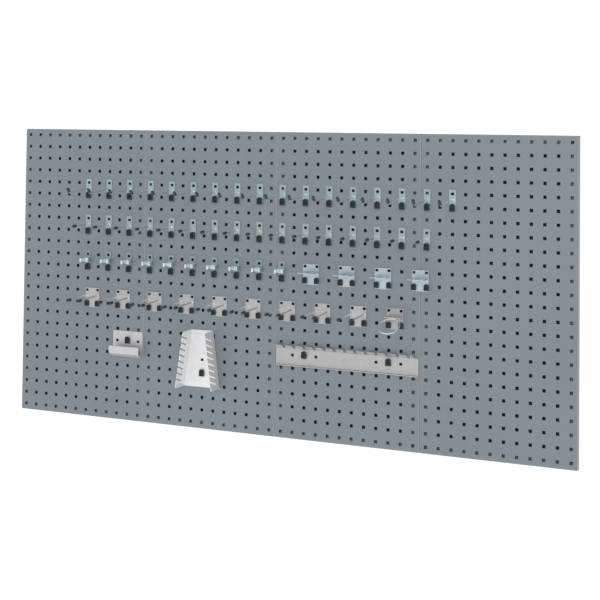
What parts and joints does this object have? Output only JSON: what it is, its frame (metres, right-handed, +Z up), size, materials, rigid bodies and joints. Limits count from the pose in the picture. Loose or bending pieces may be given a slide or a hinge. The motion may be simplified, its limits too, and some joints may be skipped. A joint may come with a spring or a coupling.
{
  "type": "pegboard tool wall",
  "caption": "Perforated steel tool wall of four panels, with hooks, spring clips, plier holders, a ring holder, a ledge, a wrench rack and a toothed tool rail.",
  "frame": {"origin": "centre of the rear plane that rests on the wall", "axes": "+X to the right along the wall, +Y into the wall, +Z up"},
  "size_m": [1.828, 0.1427, 0.9144],
  "materials": {
    "board_enamel": "satin grey baked epoxy",
    "zinc": "bright zinc plate with a cool tint",
    "pale_zinc": "pale grey zinc plate, matt",
    "bright_zinc": "bright white zinc plate",
    "lock_plastic": "moulded black plastic",
    "cap_vinyl": "dipped soft vinyl"
  },
  "bodies": {
    "board": {"panel_1": "board_enamel", "panel_2": "board_enamel", "panel_3": "board_enamel", "panel_4": "board_enamel", "long_hook_plates": "zinc", "long_hook_rods": "zinc", "long_hook_caps": "cap_vinyl", "long_hook_locks": "lock_plastic", "short_hook_plates": "zinc", "short_hook_rods": "zinc", "short_hook_caps": "cap_vinyl", "short_hook_locks": "lock_plastic", "clip_plates": "zinc", "clip_springs": "zinc", "clip_rivets": "zinc", "clip_locks": "lock_plastic", "plier_plates": "zinc", "plier_shelves": "zinc", "plier_locks": "lock_plastic", "double_hook_plates": "pale_zinc", "double_hook_rods": "zinc", "double_hook_caps": "cap_vinyl", "double_hook_locks": "lock_plastic"},
    "long_hook": {"first_long_hook_plate": "zinc", "first_long_hook_rod": "zinc", "first_long_hook_cap": "cap_vinyl"},
    "short_hook": {"first_short_hook_plate": "zinc", "first_short_hook_rod": "zinc", "first_short_hook_cap": "cap_vinyl"},
    "spring_clip": {"first_clip_plate": "zinc", "first_clip_spring": "zinc", "first_clip_rivet": "zinc"},
    "plier_holder": {"first_plier_plate": "zinc", "first_plier_shelf": "zinc"},
    "double_hook": {"first_double_plate": "pale_zinc", "first_double_rods": "zinc", "first_double_caps": "cap_vinyl"},
    "ring_holder": {"ring_plate": "pale_zinc", "ring_shelf": "pale_zinc", "ring_wire_loop": "zinc"},
    "ledge": {"ledge_plate": "pale_zinc"},
    "wrench_rack": {"wrench_rack_plate": "bright_zinc"},
    "tool_rail": {"tool_rail_plate": "pale_zinc"},
    "long_hook_lock": {"first_long_hook_lock": "lock_plastic"},
    "short_hook_lock": {"first_short_hook_lock": "lock_plastic"},
    "clip_lock": {"first_clip_lock": "lock_plastic"},
    "plier_lock_left": {"first_plier_lock_left": "lock_plastic"},
    "plier_lock_right": {"first_plier_lock_right": "lock_plastic"},
    "double_lock_left": {"first_double_lock_left": "lock_plastic"},
    "double_lock_right": {"first_double_lock_right": "lock_plastic"},
    "ring_lock_left": {"ring_lock_left": "lock_plastic"},
    "ring_lock_right": {"ring_lock_right": "lock_plastic"},
    "ledge_lock": {"ledge_lock": "lock_plastic"},
    "wrench_rack_lock": {"wrench_rack_lock": "lock_plastic"},
    "rail_lock_left": {"tool_rail_lock_left": "lock_plastic"},
    "rail_lock_right": {"tool_rail_lock_right": "lock_plastic"}
  },
  "joints": [
    {"name": "long_hook_lift", "type": "slide", "parent": "board", "child": "long_hook", "axis": [0, 0, 1], "range_m": [0, 0.0065]},
    {"name": "short_hook_lift", "type": "slide", "parent": "board", "child": "short_hook", "axis": [0, 0, 1], "range_m": [0, 0.0065]},
    {"name": "spring_clip_lift", "type": "slide", "parent": "board", "child": "spring_clip", "axis": [0, 0, 1], "range_m": [0, 0.0065]},
    {"name": "plier_holder_lift", "type": "slide", "parent": "board", "child": "plier_holder", "axis": [0, 0, 1], "range_m": [0, 0.0065]},
    {"name": "double_hook_lift", "type": "slide", "parent": "board", "child": "double_hook", "axis": [0, 0, 1], "range_m": [0, 0.0065]},
    {"name": "ring_holder_lift", "type": "slide", "parent": "board", "child": "ring_holder", "axis": [0, 0, 1], "range_m": [0, 0.0065]},
    {"name": "ledge_lift", "type": "slide", "parent": "board", "child": "ledge", "axis": [0, 0, 1], "range_m": [0, 0.0065]},
    {"name": "wrench_rack_lift", "type": "slide", "parent": "board", "child": "wrench_rack", "axis": [0, 0, 1], "range_m": [0, 0.0065]},
    {"name": "tool_rail_lift", "type": "slide", "parent": "board", "child": "tool_rail", "axis": [0, 0, 1], "range_m": [0, 0.0065]},
    {"name": "long_hook_lock_pull", "type": "slide", "parent": "long_hook", "child": "long_hook_lock", "axis": [0, -1, 0], "range_m": [0, 0.008]},
    {"name": "short_hook_lock_pull", "type": "slide", "parent": "short_hook", "child": "short_hook_lock", "axis": [0, -1, 0], "range_m": [0, 0.008]},
    {"name": "clip_lock_pull", "type": "slide", "parent": "spring_clip", "child": "clip_lock", "axis": [0, -1, 0], "range_m": [0, 0.008]},
    {"name": "plier_lock_left_pull", "type": "slide", "parent": "plier_holder", "child": "plier_lock_left", "axis": [0, -1, 0], "range_m": [0, 0.008]},
    {"name": "plier_lock_right_pull", "type": "slide", "parent": "plier_holder", "child": "plier_lock_right", "axis": [0, -1, 0], "range_m": [0, 0.008]},
    {"name": "double_lock_left_pull", "type": "slide", "parent": "double_hook", "child": "double_lock_left", "axis": [0, -1, 0], "range_m": [0, 0.008]},
    {"name": "double_lock_right_pull", "type": "slide", "parent": "double_hook", "child": "double_lock_right", "axis": [0, -1, 0], "range_m": [0, 0.008]},
    {"name": "ring_lock_left_pull", "type": "slide", "parent": "ring_holder", "child": "ring_lock_left", "axis": [0, -1, 0], "range_m": [0, 0.008]},
    {"name": "ring_lock_right_pull", "type": "slide", "parent": "ring_holder", "child": "ring_lock_right", "axis": [0, -1, 0], "range_m": [0, 0.008]},
    {"name": "ledge_lock_pull", "type": "slide", "parent": "ledge", "child": "ledge_lock", "axis": [0, -1, 0], "range_m": [0, 0.008]},
    {"name": "wrench_rack_lock_pull", "type": "slide", "parent": "wrench_rack", "child": "wrench_rack_lock", "axis": [0, -1, 0], "range_m": [0, 0.008]},
    {"name": "rail_lock_left_pull", "type": "slide", "parent": "tool_rail", "child": "rail_lock_left", "axis": [0, -1, 0], "range_m": [0, 0.008]},
    {"name": "rail_lock_right_pull", "type": "slide", "parent": "tool_rail", "child": "rail_lock_right", "axis": [0, -1, 0], "range_m": [0, 0.008]}
  ]
}
